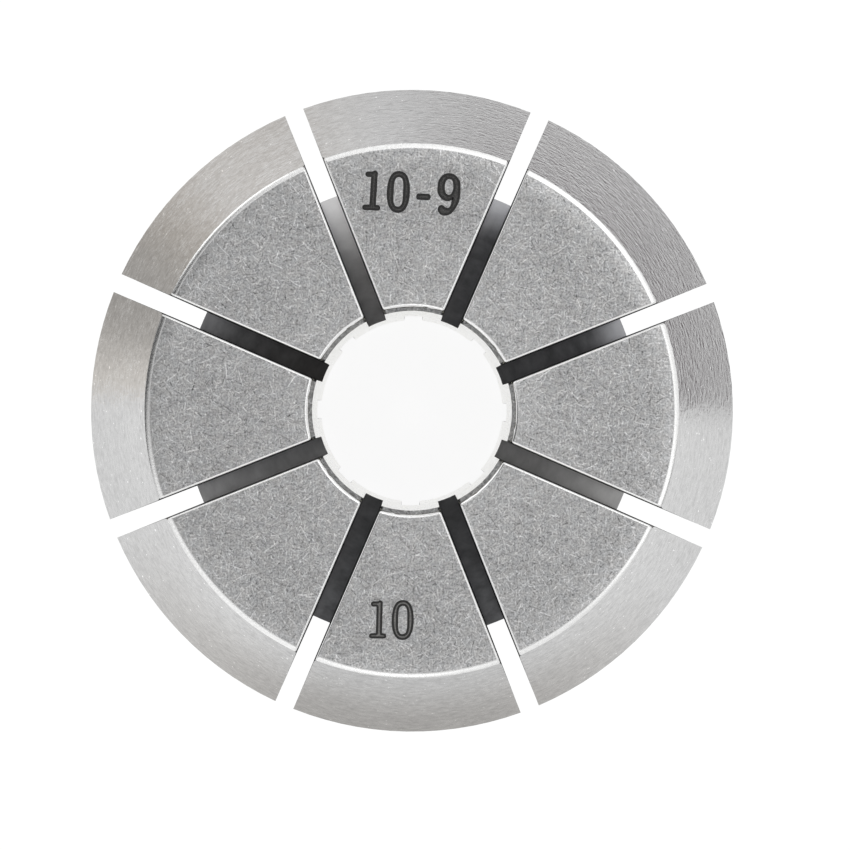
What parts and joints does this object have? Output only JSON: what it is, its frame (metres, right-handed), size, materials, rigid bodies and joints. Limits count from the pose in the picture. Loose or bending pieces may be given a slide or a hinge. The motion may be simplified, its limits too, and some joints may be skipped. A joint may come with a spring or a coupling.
{
  "type": "er collet",
  "caption": "Slit steel spring collet with a nose cone, an extraction groove and a long seat taper, which closes on a round tool shank.",
  "frame": {"origin": "centre of the small rear end face, which the collet stands on", "axes": "+Z along the bore axis from the rear end to the front face; +X along the middle of a front face segment"},
  "size_m": [0.033, 0.033, 0.04],
  "materials": {
    "ground_steel": "hardened spring steel: tumbled end faces, ground nose cone, seat taper and bore, sawn slots",
    "etched_mark": "dark laser-etched numerals in the front face"
  },
  "bodies": {
    "root": {"collet": "ground_steel"}
  },
  "joints": []
}
